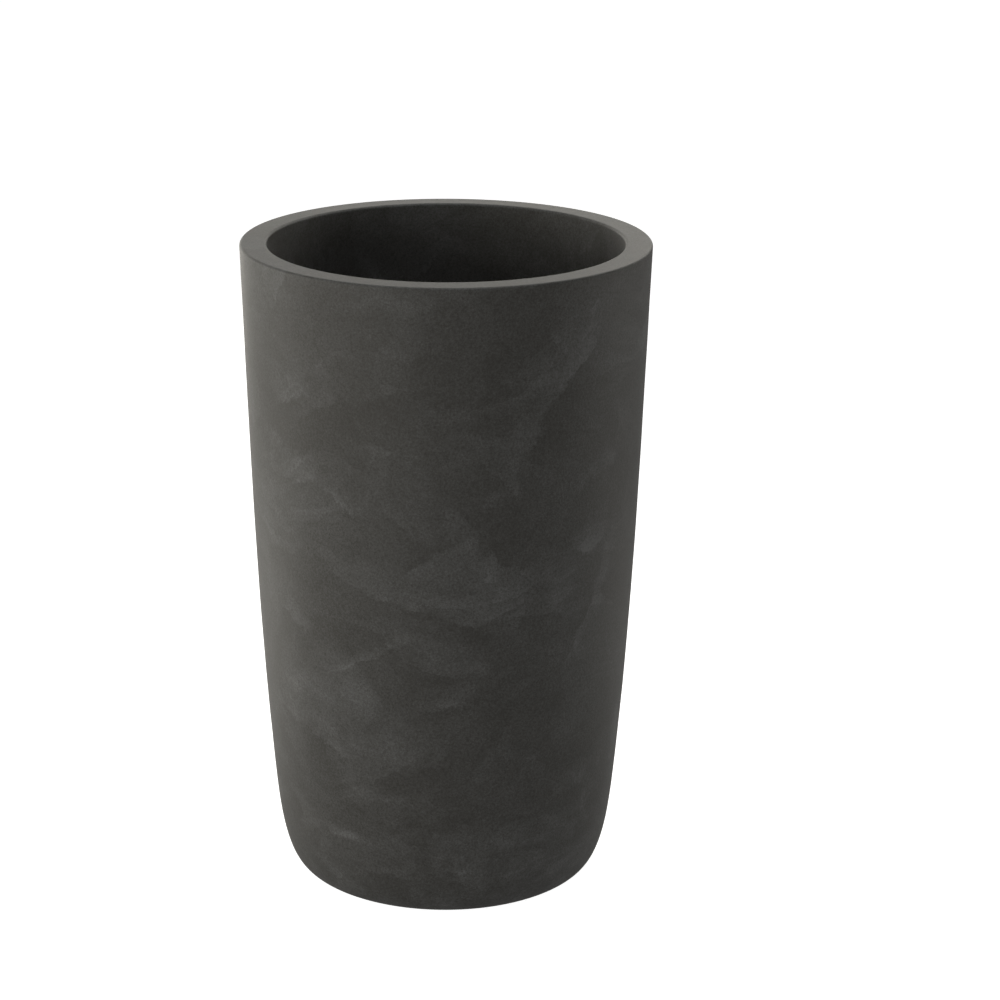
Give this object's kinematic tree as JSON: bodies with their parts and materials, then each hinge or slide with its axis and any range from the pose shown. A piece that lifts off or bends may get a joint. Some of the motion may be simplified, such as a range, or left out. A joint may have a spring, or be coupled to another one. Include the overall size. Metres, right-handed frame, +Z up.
{
  "type": "floor planter",
  "caption": "Tall round double-skinned fibreglass planter with a flat rim, a softly rounded base, rubber feet and a plugged drain.",
  "frame": {"origin": "on the ground, under the centre of the planter, at the bottom of the feet", "axes": "+Z up along the planter's axis to its open rim; +X and +Y run between the feet, which stand at 45 degrees to them"},
  "size_m": [0.38, 0.38, 0.618],
  "materials": {
    "charcoal_fibreglass": "matte",
    "liner_fibreglass": "matte",
    "plywood": "matte",
    "black_polymer": "satin",
    "black_rubber": "matte",
    "stainless_steel": "satin"
  },
  "bodies": {
    "planter": {"outer_shell": "charcoal_fibreglass", "inner_liner": "liner_fibreglass", "rim_core": "plywood", "base_board": "plywood", "drain_bushing": "black_polymer", "drain_gasket": "black_rubber", "drain_nut": "black_polymer", "foot_1": "black_rubber", "foot_2": "black_rubber", "foot_3": "black_rubber", "foot_4": "black_rubber", "foot_screw_1": "stainless_steel", "foot_screw_2": "stainless_steel", "foot_screw_3": "stainless_steel", "foot_screw_4": "stainless_steel"},
    "plug": {"drain_plug": "black_rubber"}
  },
  "joints": [
    {"name": "drain_plug_lift", "type": "slide", "parent": "planter", "child": "plug", "axis": [0, 0, 1], "range_m": [0, 0.04]}
  ]
}
